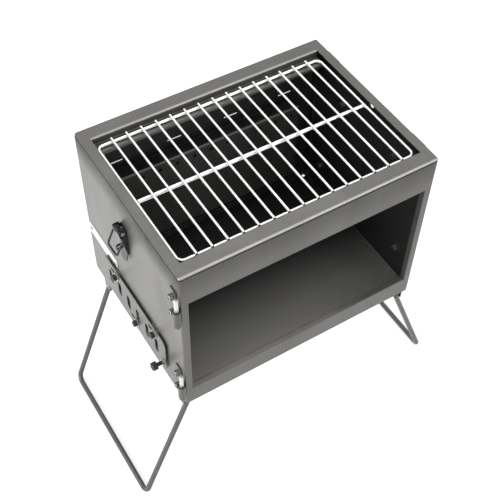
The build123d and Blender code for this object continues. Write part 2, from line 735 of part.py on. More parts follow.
def make_latch_lever():
    """Pressed lever: a tapering channel that closes over the base, with a thumb tab at its end."""
    with BuildPart() as lever:
        tab_back = latch_standoff_fold - latch_sheet
        with BuildSketch(latch_side) as side_view:
            with BuildLine():
                Polyline((latch_cheek_back, latch_top), (latch_standoff_top, latch_top),
                         (latch_standoff_fold, latch_fold), (tab_back, latch_fold),
                         (latch_cheek_back, bail_pivot_height - 2 * latch_ear_radius), close=True)
            make_face()
            top_corner = side_view.vertices().group_by(Axis.Y)[-1].sort_by(Axis.X)[-1]
            fillet(top_corner, latch_top_round)
        extrude(amount=latch_width / 2, both=True)
        long_edges = lever.edges().sort_by(SortBy.LENGTH)[-2:]
        fillet(long_edges, latch_sheet)
        inner_top = latch_top - latch_sheet
        with BuildSketch(latch_side) as channel:
            with BuildLine():
                Polyline((0, inner_top), (latch_standoff_top - latch_sheet * (1 + lever_slope), inner_top),
                         (latch_standoff_fold - latch_sheet, latch_fold), (0, latch_fold), close=True)
            make_face()
            inner_corner = channel.vertices().group_by(Axis.Y)[-1].sort_by(Axis.X)[-1]
            fillet(inner_corner, latch_top_round - latch_sheet)
        extrude(amount=latch_width / 2 - latch_sheet, both=True, mode=Mode.SUBTRACT)
        # The closed top is cut back so that it swings clear of the base, and slotted where the two ears pass
        with BuildSketch(latch_side) as cap_cut:
            with Locations((cap_back / 2, latch_top)):
                Rectangle(cap_back, 2 * latch_ear_radius)
        extrude(amount=base_width / 2 + lever_ear_play, both=True, mode=Mode.SUBTRACT)
        ear_slot_reach = lever_pivot_reach + latch_ear_radius + 2 * lever_ear_play
        for side in (-1, 1):
            with BuildSketch(latch_side.offset(side * (base_width - latch_sheet) / 2)) as ear_slot:
                with Locations((ear_slot_reach / 2, latch_top)):
                    Rectangle(ear_slot_reach, 2 * latch_ear_radius)
            extrude(amount=latch_sheet / 2 + lever_ear_play, both=True, mode=Mode.SUBTRACT)
        with BuildSketch(latch_side) as tab_profile:
            with BuildLine():
                Polyline((tab_back, latch_fold), (latch_standoff_fold, latch_fold),
                         (latch_standoff_tip, latch_tip), (latch_standoff_tip - latch_sheet, latch_tip),
                         close=True)
            make_face()
        extrude(amount=latch_width / 2, both=True)
        with BuildSketch(left_face) as tab_corners:
            with Locations(on_left(latch_depth, latch_tip + latch_tab_round / 2)):
                Rectangle(latch_width, latch_tab_round)
            with Locations(on_left(latch_depth, (latch_top + latch_tip) / 2)):
                RectangleRounded(latch_width, latch_top - latch_tip, latch_tab_round, mode=Mode.SUBTRACT)
        extrude(amount=latch_standoff_top, mode=Mode.SUBTRACT)
        slot_length = staple_width + 2 * staple_slot_extra
        with BuildSketch(left_face) as staple_slot:
            with Locations(on_left(latch_depth, staple_height)):
                Rectangle(staple_sheet + 2 * staple_slot_clearance, slot_length)
        extrude(amount=latch_standoff_top, mode=Mode.SUBTRACT)
        with BuildSketch(latch_side) as holes:
            with Locations((lever_pivot_reach, lever_pivot_height)):
                Circle(lever_pin_radius + running_clearance)
            with Locations((bail_pivot_reach, bail_pivot_height)):
                Circle(bail_wire_radius + running_clearance)
        extrude(amount=latch_width / 2, both=True, mode=Mode.SUBTRACT)
    save(lever.part, "latch_lever")


def make_latch_bail():
    """Wire bail of the latch, its ends turned in through the lever's cheeks."""
    arm_offset = latch_width / 2 + bail_side_gap + bail_wire_radius
    stub_end = latch_width / 2 - latch_sheet - body_gap
    pivot_x = left_x - bail_pivot_reach
    pivot_z = body_z + bail_pivot_height
    far_x = pivot_x - bail_length * math.sin(math.radians(bail_angle))
    far_z = pivot_z - bail_length * math.cos(math.radians(bail_angle))
    with BuildPart() as bail:
        with BuildLine() as wire:
            FilletPolyline(
                (pivot_x, latch_y - stub_end, pivot_z),
                (pivot_x, latch_y - arm_offset, pivot_z),
                (far_x, latch_y - arm_offset, far_z),
                (far_x, latch_y + arm_offset, far_z),
                (pivot_x, latch_y + arm_offset, pivot_z),
                (pivot_x, latch_y + stub_end, pivot_z),
                radius=[bail_wire_radius + running_clearance, bail_corner, bail_corner,
                        bail_wire_radius + running_clearance],
            )
        with BuildSketch(Plane(origin=wire.line @ 0, z_dir=wire.line % 0)) as section:
            Circle(bail_wire_radius)
        sweep()
    save(bail.part, "latch_bail")


def leg_points(side, drop):
    """Corners of a leg's bent wire: side is -1 for the left leg and 1 for the right."""
    pivot_x = side * (body_width / 2 - leg_pivot_inset)
    foot_x = side * (body_width / 2 + leg_splay)
    pivot_z = body_z - drop
    front = front_y + leg_front_depth
    rear = front_y + leg_rear_depth
    end_reach = ear_far_depth + body_gap + clip_width + leg_end_stub - leg_front_depth
    return [
        (pivot_x, front + end_reach, pivot_z),
        (pivot_x, front, pivot_z),
        (foot_x, front, leg_rod_radius),
        (foot_x, rear, leg_rod_radius),
        (pivot_x, rear, pivot_z),
        (pivot_x, rear - end_reach, pivot_z),
    ]


def make_leg(side, drop, prefix):
    """U-shaped wire leg and the push-on clips that keep its turned ends in the brackets."""
    with BuildPart() as leg:
        with BuildLine() as wire:
            FilletPolyline(*leg_points(side, drop),
                           radius=[leg_pivot_bend, leg_foot_bend, leg_foot_bend, leg_pivot_bend])
        with BuildSketch(Plane(origin=wire.line @ 0, z_dir=wire.line % 0)) as section:
            Circle(leg_rod_radius)
        sweep()
    save(leg.part, prefix + "_leg")
    clip_depths = (ear_far_depth + body_gap, leg_front_depth + leg_rear_depth - ear_far_depth - body_gap)
    with BuildPart() as clips:
        for depth, inward in zip(clip_depths, (-1, 1)):
            pivot = (side * (body_width / 2 - leg_pivot_inset), front_y + depth, body_z - drop)
            with BuildSketch(Plane(origin=pivot, x_dir=(1, 0, 0), z_dir=(0, -1, 0))) as disc:
                Circle(clip_radius)
                Circle(leg_rod_radius, mode=Mode.SUBTRACT)
            extrude(amount=inward * clip_width)
    save(clips.part, prefix + "_leg_clips")


def make_leg_bracket(side, end, drop, tab_drop, name):
    """Folded bracket on a wall tab: a leaf screwed to the tab and an ear for the leg's turned end.

    side is -1 on the left and 1 on the right; end is 1 at the front and -1 at the rear.
    """
    corner_y = front_y if end == 1 else front_y + leg_front_depth + leg_rear_depth
    wall_x = side * body_width / 2
    across = Plane(origin=(wall_x, corner_y, body_z), x_dir=(-side, 0, 0), z_dir=(0, side, 0))
    sweep_sign = side * end
    ear_drop = drop + leg_rod_radius + bracket_ear_rim
    with BuildPart() as bracket:
        with BuildSketch(across.offset(sweep_sign * ear_near_depth)) as ear:
            with Locations((sheet + bracket_ear_width / 2, -ear_drop / 2)):
                Rectangle(bracket_ear_width, ear_drop)
            inner_corner = ear.vertices().group_by(Axis.Y)[0].sort_by(Axis.X)[-1]
            fillet(inner_corner, bracket_ear_width / 3)
            with Locations((leg_pivot_inset, -drop)):
                Circle(leg_rod_radius + running_clearance, mode=Mode.SUBTRACT)
        extrude(amount=sweep_sign * bracket_sheet)
        with BuildSketch(across.offset(sweep_sign * ear_near_depth)) as leaf:
            with Locations((sheet + bracket_sheet / 2, -tab_drop / 2)):
                Rectangle(bracket_sheet, tab_drop)
        extrude(amount=sweep_sign * (tab_far_depth - ear_near_depth))
        with BuildSketch(Plane(origin=(wall_x, corner_y + end * bracket_screw_depth,
                                       body_z + bracket_screw_lift - tab_drop),
                               x_dir=(0, 1, 0), z_dir=(-side, 0, 0))) as screw_hole:
            Circle(bracket_screw_radius)
        extrude(amount=sheet + bracket_sheet, mode=Mode.SUBTRACT)
    save(bracket.part, name)


def make_bracket_screws(side, tab_drop, prefix):
    """Cap screws that hold the brackets to the tabs, with their heads inside."""
    seat = Plane(origin=(side * (body_width / 2 - sheet - bracket_sheet), 0, body_z),
                 x_dir=(0, side * -1, 0), z_dir=(-side, 0, 0))
    spots = [(-side * (front_y + depth), bracket_screw_lift - tab_drop) for depth in bracket_screw_depths]
    make_cap_screws(prefix + "_bracket_screws", seat, spots, bracket_head_radius, bracket_head_height,
                    bracket_screw_radius, bracket_sheet + sheet)


def make_grill():
    """Lift-out grill: a rounded rim wire, bars across it and one crossbar under the bars."""
    rim_width = frame_opening_width - 2 * rim_side_gap
    rim_depth = frame_opening_depth - 2 * rim_end_gap
    with BuildPart() as rim:
        with BuildLine(Plane(origin=(0, grill_y, rim_z))) as loop:
            half_width = rim_width / 2
            half_depth = rim_depth / 2
            FilletPolyline((half_width, -half_depth), (half_width, half_depth), (-half_width, half_depth),
                           (-half_width, -half_depth), radius=rim_corner_radius, close=True)
        with BuildSketch(Plane(origin=loop.line @ 0, z_dir=loop.line % 0)) as section:
            Circle(rim_wire_radius)
        sweep()
    save(rim.part, "grill_rim")
    bar_length = rim_depth + 2 * rim_wire_radius
    bar_start = Plane(origin=(0, grill_y - bar_length / 2, bar_z), x_dir=(1, 0, 0), z_dir=(0, 1, 0))
    with BuildPart() as bars:
        with BuildSketch(bar_start) as sections:
            with Locations(*[(offset, 0) for offset in spread(bar_count, bar_pitch)]):
                Circle(bar_radius)
        extrude(amount=bar_length)
    save(bars.part, "grill_bars")
    crossbar_length = rim_width - 2 * rim_wire_radius
    crossbar_start = Plane(origin=(-crossbar_length / 2, grill_y, crossbar_z), x_dir=(0, 1, 0), z_dir=(1, 0, 0))
    with BuildPart() as crossbar:
        with BuildSketch(crossbar_start) as section:
            Circle(crossbar_radius)
        extrude(amount=crossbar_length)
    save(crossbar.part, "grill_crossbar")


make_firebox_shell()
make_rear_wall()
make_floor_pan()
make_top_frame()
make_air_duct()
make_hinge_half(upper_hinge_height, "upper")
make_hinge_half(lower_hinge_height, "lower")
make_wall_hardware()
make_side_plate()
make_damper()
make_nameplate()
make_latch_base()
make_latch_lever()
make_latch_bail()
for leg_side, leg_prefix, leg_drop, wall_tab_drop in (
    (-1, "left", left_leg_drop, left_tab_drop),
    (1, "right", right_leg_drop, right_tab_drop),
):
    make_leg(leg_side, leg_drop, leg_prefix)
    make_leg_bracket(leg_side, 1, leg_drop, wall_tab_drop, leg_prefix + "_front_bracket")
    make_leg_bracket(leg_side, -1, leg_drop, wall_tab_drop, leg_prefix + "_rear_bracket")
    make_bracket_screws(leg_side, wall_tab_drop, leg_prefix)
make_grill()
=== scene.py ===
# %% [markdown]
# # Dressing a folding camp wood stove
#
# The stove is already modelled at its real size: sheet steel firebox, wire legs, wire grill,
# hinge halves and latch. This lesson gives those pieces their finishes, adds the small details
# that a camera picks up, and sets the studio. Everything is in metres, with +X along the wide
# front, the open mouth facing -Y and +Z up.

# %% Load the stove
import json
import math

import bmesh
import bpy
from mathutils import Matrix, Vector


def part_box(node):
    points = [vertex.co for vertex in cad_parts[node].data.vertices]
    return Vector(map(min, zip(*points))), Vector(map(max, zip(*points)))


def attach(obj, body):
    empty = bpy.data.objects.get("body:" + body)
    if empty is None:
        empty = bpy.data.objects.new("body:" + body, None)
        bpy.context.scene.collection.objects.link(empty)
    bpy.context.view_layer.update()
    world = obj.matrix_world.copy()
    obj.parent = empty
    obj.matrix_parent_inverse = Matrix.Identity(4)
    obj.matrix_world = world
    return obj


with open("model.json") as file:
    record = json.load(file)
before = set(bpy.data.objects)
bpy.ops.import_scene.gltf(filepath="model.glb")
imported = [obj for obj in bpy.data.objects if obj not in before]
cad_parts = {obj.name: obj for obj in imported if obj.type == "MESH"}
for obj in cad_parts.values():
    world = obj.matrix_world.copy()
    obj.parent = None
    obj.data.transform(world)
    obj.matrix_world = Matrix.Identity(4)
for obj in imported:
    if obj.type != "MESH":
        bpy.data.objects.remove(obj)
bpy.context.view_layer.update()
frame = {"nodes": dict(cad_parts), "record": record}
nodes = frame["nodes"]
bpy.ops.object.select_all(action="DESELECT")

# %% [markdown]
# ## Where things are
#
# A box round a node gives its lowest and highest corner, so the walls and the rim never have to
# be typed in twice. The firebox shell gives the outside of the box. Its height without the four
# hanging tabs comes from the floor pan and the top frame.

# %% Landmarks
shell_low, shell_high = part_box("firebox_shell")
left_wall_x = shell_low.x
right_wall_x = shell_high.x
front_y = shell_low.y
rear_y = shell_high.y
floor_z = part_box("floor_pan")[0].z
top_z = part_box("top_frame")[1].z
sheet = 0.0015
firebox_size = Vector((right_wall_x - left_wall_x, rear_y - front_y, top_z - floor_z))
middle = Vector((
    (left_wall_x + right_wall_x) / 2,
    (front_y + rear_y) / 2,
    (floor_z + top_z) / 2,
))
print("firebox", [round(side, 3) for side in firebox_size])

# %% [markdown]
# ## The camera first
#
# The photograph looks down on the stove's left front corner with a long lens, so the sides
# converge only a little. The camera is turned in three steps, as a photographer would: round
# the stove, down towards it, and a slight roll.

# %% Camera
camera_azimuth = math.radians(-33.03)
camera_elevation = math.radians(50.93)
camera_roll = math.radians(1.71)
camera_place = Vector((-0.4995, -0.7603, 1.4298))
camera_lens = 67.7
camera_sensor = 36


def add_camera():
    """A camera at the photograph's angle."""
    data = bpy.data.cameras.new("stove_camera")
    data.sensor_width = camera_sensor
    data.lens = camera_lens
    camera = bpy.data.objects.new("stove_camera", data)
    bpy.context.scene.collection.objects.link(camera)
    turn = Matrix.Rotation(camera_azimuth, 4, "Z")
    tilt = Matrix.Rotation(math.pi / 2 - camera_elevation, 4, "X")
    roll = Matrix.Rotation(camera_roll, 4, "Z")
    camera.matrix_world = Matrix.Translation(camera_place) @ turn @ tilt @ roll
    bpy.context.scene.camera = camera
    return camera


camera = add_camera()
print("camera at", [round(c, 3) for c in camera.location])

# %% [markdown]
# ## Node groups shared by several finishes
#
# Painted sheet, bare steel and black oxide all show the same few effects: a fine grain that
# catches the light, slow patches where the finish is thicker or thinner, and a dusting of ash.
# Each effect is a node group with its own inputs, so a finish only says how much of it there is.
#
# Every input of a node is either a plain value or a link to another node's output, so one helper
# takes both and the groups below read like formulas.

# %% Helpers for nodes
def feed(tree, socket, value):
    """A socket linked to another one, or set to a plain value."""
    if isinstance(value, bpy.types.NodeSocket):
        tree.links.new(value, socket)
    else:
        socket.default_value = value


def add_node(tree, kind, **settings):
    """A node with its settings: the node's own properties are set, the rest feed its inputs."""
    node = tree.nodes.new(kind)
    for key, value in settings.items():
        if hasattr(node, key):
            setattr(node, key, value)
        else:
            feed(tree, node.inputs[key.replace("_", " ")], value)
    return node


def feed_in_order(tree, node, *values):
    """A node's first inputs fed by their place, for nodes whose inputs share one name."""
    for place, value in enumerate(values):
        if value is not None:
            feed(tree, node.inputs[place], value)
    return node


def math_node(tree, operation, first, second=None, clamp=False):
    """A Math node's output."""
    node = add_node(tree, "ShaderNodeMath", operation=operation, use_clamp=clamp)
    return feed_in_order(tree, node, first, second).outputs["Value"]


def vector_node(tree, operation, first, second=None):
    """A Vector Math node's outputs."""
    node = add_node(tree, "ShaderNodeVectorMath", operation=operation)
    return feed_in_order(tree, node, first, second).outputs


def object_coordinates(tree):
    """Object coordinates, which stay put on a piece whatever the camera does."""
    return tree.nodes.new("ShaderNodeTexCoord").outputs["Object"]


def axes_of(tree, vector):
    """The X, Y and Z of a vector."""
    return add_node(tree, "ShaderNodeSeparateXYZ", Vector=vector).outputs


# %% [markdown]
# Three small formulas come back in several groups: a steep ramp that turns a soft value into a
# mask, a noise that is moved so that it swings about 0.5, and how far a point has gone between
# two places along an axis.

# %% Helpers for groups
def new_group(name, inputs, output, output_kind="NodeSocketFloat"):
    """An empty shader group with number inputs and one output: the group and both ends."""
    group = bpy.data.node_groups.new(name, "ShaderNodeTree")
    for input_name, value in inputs.items():
        socket = group.interface.new_socket(
            input_name, in_out="INPUT", socket_type="NodeSocketFloat")
        socket.default_value = value
    group.interface.new_socket(output, in_out="OUTPUT", socket_type=output_kind)
    entry = group.nodes.new("NodeGroupInput")
    result = group.nodes.new("NodeGroupOutput")
    return group, entry.outputs, result.inputs[output]


def ramp(tree, value, start, gain):
    """0 up to the start, then rising with the gain, and never above 1."""
    return math_node(tree, "MULTIPLY", math_node(tree, "SUBTRACT", value, start), gain, clamp=True)


def about_half(tree, value, mean, contrast):
    """A noise moved from its own mean to 0.5, with a contrast, kept from 0 to 1."""
    centred = math_node(tree, "SUBTRACT", value, mean)
    scaled = math_node(tree, "MULTIPLY", centred, contrast)
    return math_node(tree, "ADD", scaled, 0.5, clamp=True)


def steps_along(tree, place, axis, start, end):
    """How far a place has gone from start to end along an axis, from 0 to 1."""
    return add_node(tree, "ShaderNodeMapRange", Value=axes_of(tree, place)[axis],
                    From_Min=start, From_Max=end).outputs["Result"]


# %% [markdown]
# ### Grain
#
# Heat paint dries with a fine orange peel of about half a millimetre. A noise texture at that
# scale, run through a Bump node, gives it. A second and much larger noise stands for the slight
# waves that thin sheet always has.

# %% Grain group
grain_scale = 1800.0
grain_height = 0.0004
wave_scale = 9.0
wave_height = 0.004


def make_grain_group():
    """Fine grain and slow sheet waves, as a normal."""
    group, given, normal = new_group(
        "surface_grain", {"Strength": 0.1, "Wave Strength": 0.0}, "Normal", "NodeSocketVector")
    place = object_coordinates(group)
    waves = add_node(group, "ShaderNodeTexNoise", Vector=place, Scale=wave_scale, Detail=1.5)
    wave_bump = add_node(group, "ShaderNodeBump", Height=waves.outputs["Fac"],
                         Strength=given["Wave Strength"], Distance=wave_height)
    fine = add_node(group, "ShaderNodeTexNoise", Vector=place, Scale=grain_scale,
                    Detail=3.0, Roughness=0.6)
    fine_bump = add_node(group, "ShaderNodeBump", Height=fine.outputs["Fac"],
                         Strength=given["Strength"], Distance=grain_height,
                         Normal=wave_bump.outputs["Normal"])
    feed(group, normal, fine_bump.outputs["Normal"])
    return group


grain_group = make_grain_group()
print("group", grain_group.name, len(grain_group.nodes), "nodes")

# %% [markdown]
# ### Patches
#
# A sprayed coat is never one colour. Two noises, one a hand's width and one a finger's width,
# are added and turned into a factor about 0.5 that a finish uses to mix a darker and a lighter
# tone.

# %% Patches group
close_ratio = 7.0
close_share = 0.4


def make_patch_group():
    """A slow mottling factor."""
    group, given, result = new_group("soft_patches", {"Scale": 14.0, "Contrast": 1.0}, "Value")
    place = object_coordinates(group)
    broad = add_node(group, "ShaderNodeTexNoise", Vector=place, Scale=given["Scale"],
                     Detail=4.0, Roughness=0.55, Distortion=0.3)
    close = add_node(group, "ShaderNodeTexNoise", Vector=place,
                     Scale=math_node(group, "MULTIPLY", given["Scale"], close_ratio),
                     Detail=5.0, Roughness=0.7)
    part = math_node(group, "MULTIPLY", close.outputs["Fac"], close_share)
    blend = math_node(group, "ADD", broad.outputs["Fac"], part)
    mean = 0.5 + 0.5 * close_share
    feed(group, result, about_half(group, blend, mean, given["Contrast"]))
    return group


patch_group = make_patch_group()
print("group", patch_group.name, len(patch_group.nodes), "nodes")

# %% [markdown]
# ### Specks
#
# Ash and lint settle as pale dots about a millimetre wide. A Voronoi texture measures the
# distance to the nearest scattered point, and keeping only the very short distances leaves dots.
# Each point also has a random colour, which picks the few that stay.

# %% Specks group
speck_scale = 260.0
specks_left_out = 0.72


def make_speck_group():
    """Sparse pale dots, as a mask."""
    group, given, mask = new_group("pale_specks", {"Amount": 0.12}, "Mask")
    dots = add_node(group, "ShaderNodeTexVoronoi", feature="F1",
                    Vector=object_coordinates(group), Scale=speck_scale)
    near = math_node(group, "LESS_THAN", dots.outputs["Distance"], given["Amount"])
    chance = add_node(group, "ShaderNodeSeparateColor", Color=dots.outputs["Color"])
    few = math_node(group, "GREATER_THAN", chance.outputs["Red"], specks_left_out)
    feed(group, mask, math_node(group, "MULTIPLY", near, few))
    return group


speck_group = make_speck_group()
print("group", speck_group.name, len(speck_group.nodes), "nodes")

# %% [markdown]
# ### Worn and shaded edges
#
# A sheared or folded edge loses its coat first and shows as a thin line. The Bevel node gives
# the normal that the edge would have if it were rounded, so where that differs from the real
# normal there is an edge, and a noise breaks the line up. A curvature mask painted on the mesh
# would need many more faces than thin sheet has.

# %% Edge group
# The same mask with a black colour draws a painted shadow along the damper's and hinge leaves'
# edges, where the gap behind them is dark.
edge_start = 0.03
edge_gain = 6.0
fleck_scale = 70.0
fleck_start = 0.3
fleck_gain = 3.0


def make_edge_group():
    """Broken lines along edges, as a mask."""
    group, given, mask = new_group("worn_and_shaded_edges", {"Radius": 0.0009}, "Mask")
    rounded = add_node(group, "ShaderNodeBevel", samples=4, Radius=given["Radius"])
    surface = group.nodes.new("ShaderNodeNewGeometry")
    match = vector_node(
        group, "DOT_PRODUCT", rounded.outputs["Normal"], surface.outputs["Normal"])["Value"]
    edge = ramp(group, math_node(group, "SUBTRACT", 1.0, match), edge_start, edge_gain)
    flecks = add_node(group, "ShaderNodeTexNoise", Vector=object_coordinates(group),
                      Scale=fleck_scale, Detail=4.0, Roughness=0.7)
    breakup = ramp(group, flecks.outputs["Fac"], fleck_start, fleck_gain)
    feed(group, mask, math_node(group, "MULTIPLY", edge, breakup))
    return group


edge_group = make_edge_group()
print("group", edge_group.name, len(edge_group.nodes), "nodes")

# %% [markdown]
# ### Soot and painted shade
#
# The inside of the box is darkened, as soot and as painted shade where little light reaches, and
# the outside stays grey. Both sides belong to the same thin sheet, so the group measures how far a
# point is inside the box that runs through the middle of the sheets. A band of painted shade also
# darkens the top of the walls under the rim, less on the front than on the sides. The floor is
# left lighter where it meets the mouth, as painted light that falls in through it.

# %% Soot and shade group
# Painted shade under the rim: the tops of the walls are darkened, less on the front.
rim_shade_strength = 1.3
rim_shade_depth = 0.048
rim_depth = 0.0045
front_shade_share = 0.5
front_shade_fade = 0.003
rim_noise_scale = 11.0
rim_noise_lift = 0.2


def inside_mask(group, place, given):
    """1 within the middle of the sheets, rising from 0 behind the mouth."""
    offset = vector_node(group, "SUBTRACT", place, middle)["Vector"]
    spread = vector_node(group, "ABSOLUTE", offset)["Vector"]
    half_size = (firebox_size - Vector((sheet, sheet, sheet))) / 2
    beyond = axes_of(group, vector_node(group, "SUBTRACT", spread, half_size)["Vector"])
    farthest = math_node(group, "MAXIMUM", beyond["X"], beyond["Y"])
    farthest = math_node(group, "MAXIMUM", farthest, beyond["Z"])
    fade_start = math_node(group, "ADD", given["Front Start"], front_y)
    fade_end = math_node(group, "ADD", fade_start, given["Front Fade"])
    depth = steps_along(group, place, "Y", fade_start, fade_end)
    return math_node(group, "MULTIPLY", math_node(group, "LESS_THAN", farthest, 0.0), depth)


def rim_shade_mask(group, place):
    """A band of painted shade under the rim, broken up by noise, that fades downwards and stops at
    the border's own skirt.
    """
    rim_z = top_z - rim_depth
    rim_noise = add_node(group, "ShaderNodeTexNoise", Vector=place, Scale=rim_noise_scale, Detail=3.0)
    under_rim = steps_along(group, place, "Z", top_z - rim_shade_depth, rim_z)
    above_rim = steps_along(group, place, "Z", rim_z, top_z - sheet)
    behind_front = steps_along(group, place, "Y", front_y, front_y + front_shade_fade)
    rim_shade = math_node(group, "ADD", rim_noise.outputs["Fac"], rim_noise_lift)
    for share in (
        under_rim,
        math_node(group, "SUBTRACT", 1.0, above_rim),
        math_node(group, "MAXIMUM", behind_front, front_shade_share),
        rim_shade_strength,
    ):
        rim_shade = math_node(group, "MULTIPLY", rim_shade, share)
    return rim_shade


def make_soot_and_shade_group():
    """Soot and painted shade inside the firebox and painted shade under its rim, as a mask."""
    group, given, mask = new_group("soot_and_painted_shade", {"Front Start": 0.0, "Front Fade": 0.002}, "Mask")
    place = object_coordinates(group)
    inside = inside_mask(group, place, given)
    rim_shade = rim_shade_mask(group, place)
    feed(group, mask, math_node(group, "MAXIMUM", inside, rim_shade, clamp=True))
    return group


soot_and_shade_group = make_soot_and_shade_group()
print("group", soot_and_shade_group.name, len(soot_and_shade_group.nodes), "nodes")

# %% [markdown]
# ### Rubbed lines
# ### Painted highlight lines
# Light catches the rounded bends of the top border and the edges of the duct, and these highlights
# are painted in as pale lines. A rounded bend has no sharp edge for the Bevel node to find, so
# this group marks a straight line along X instead, by its place in Y and Z.

# %% Painted highlight line group
line_break_scale = 16.0
line_break_lift = 0.45


def make_highlight_line_group():
    """A soft line along X through a given Y and Z, as a mask."""
    group, given, mask = new_group(
        "painted_highlight_line", {"Y": 0.0, "Z": 0.0, "Width": 0.002, "Half Length": 0.3}, "Mask")
    place = object_coordinates(group)
    axes = axes_of(group, place)
    off_y, off_z = (
        math_node(group, "ABSOLUTE", math_node(group, "SUBTRACT", axes[axis], given[axis]))
        for axis in "YZ"
    )
    reach = math_node(group, "DIVIDE", math_node(group, "MAXIMUM", off_y, off_z), given["Width"])
    line = math_node(group, "SUBTRACT", 1.0, reach, clamp=True)
    off_x = math_node(group, "ABSOLUTE", axes["X"])
    along = math_node(group, "LESS_THAN", off_x, given["Half Length"])
    line_breaks = add_node(group, "ShaderNodeTexNoise", Vector=place, Scale=line_break_scale, Detail=3.0)
    uneven = math_node(group, "ADD", line_breaks.outputs["Fac"], line_break_lift, clamp=True)
    line = math_node(group, "MULTIPLY", line, along)
    feed(group, mask, math_node(group, "MULTIPLY", line, uneven))
    return group


highlight_line_group = make_highlight_line_group()
print("group", highlight_line_group.name, len(highlight_line_group.nodes), "nodes")

# %% [markdown]
# ### Streaks
#
# Rolled sheet keeps faint upright bands where the coat was wiped and sprayed, and handling leaves
# scuffs. A noise squeezed by a Mapping node, narrow across and long upwards, gives bands that the
# sheen picks up. The same bands also lighten the colour: partly scuffs, partly a painted sheen of
# reflected upright bands.

# %% Streak group
streak_squeeze = (15, 15, 2.6)


def make_streak_group():
    """Upright bands for scuff marks and painted sheen, as a factor about 0.5."""
    group, given, result = new_group("upright_streaks", {"Contrast": 1.0}, "Value")
    squeeze = add_node(group, "ShaderNodeMapping", Vector=object_coordinates(group),
                       Scale=streak_squeeze)
    bands = add_node(group, "ShaderNodeTexNoise", Vector=squeeze.outputs["Vector"], Scale=1.0,
                     Detail=5.0, Roughness=0.6, Distortion=0.6)
    feed(group, result, about_half(group, bands.outputs["Fac"], 0.5, given["Contrast"]))
    return group


streak_group = make_streak_group()
print("group", streak_group.name, len(streak_group.nodes), "nodes")

# %% [markdown]
# ## Finishes
#
# One function makes every finish, so a paint or a plating is a short list of its colours, its
# roughness and how much of each effect it shows. The Principled shader stays in the material,
# and the groups feed its colour, roughness, metallic and normal.

# %% A finish with the shared effects
ash_colour = (0.34, 0.33, 0.31)
# Lighter upright bands: scuffs, and partly a painted sheen.
scuff_and_sheen_colour = (0.24, 0.235, 0.225)
# Painted highlight colour for the lines along rounded bends.
highlight_colour = (0.72, 0.71, 0.69)
# Soot and painted shade: the inside of the box is darkened where little light reaches.
soot_and_shade_colour = (0.0045, 0.004, 0.0037)
bare_edge = (0.5, 0.49, 0.47)
# Painted shadow: a black line along edges that stand off the wall.
painted_shadow_edge = (0.006, 0.006, 0.006)
ash_strength = 0.35
soot_and_shade_strength = 0.97
soot_and_shade_dullness = 0.25
scuff_and_sheen_start = 0.35
scuff_and_sheen_strength = 0.5
patch_sheen = 0.16
streak_sheen = 0.22
side_depth = 0.0007
side_drop = 0.0012


def use_group(tree, group, **values):
    """The group placed in a material with its own values; returns its output."""
    return add_node(tree, "ShaderNodeGroup", node_tree=group, **values).outputs[0]


def mix_colours(tree, factor, base, colour):
    """Two colours mixed; each is a socket or three numbers."""
    ends = [c if isinstance(c, bpy.types.NodeSocket) else (*c, 1) for c in (base, colour)]
    return add_node(tree, "ShaderNodeMix", data_type="RGBA",
                    Factor=factor, A=ends[0], B=ends[1]).outputs["Result"]


def mix_towards(tree, mask, strength, base, colour):
    """A colour that covers the base where the mask is, as far as its strength goes."""
    return mix_colours(tree, math_node(tree, "MULTIPLY", mask, strength), base, colour)


def side_shade(tree):
    """The two end faces of the top border below its rounded edge, darkened with painted shade."""
    axes = axes_of(tree, object_coordinates(tree))
    off_x = math_node(tree, "ABSOLUTE", axes["X"])
    at_end = math_node(tree, "GREATER_THAN", off_x, right_wall_x - side_depth)
    low = math_node(tree, "LESS_THAN", axes["Z"], top_z - side_drop)
    return math_node(tree, "MULTIPLY", at_end, low)


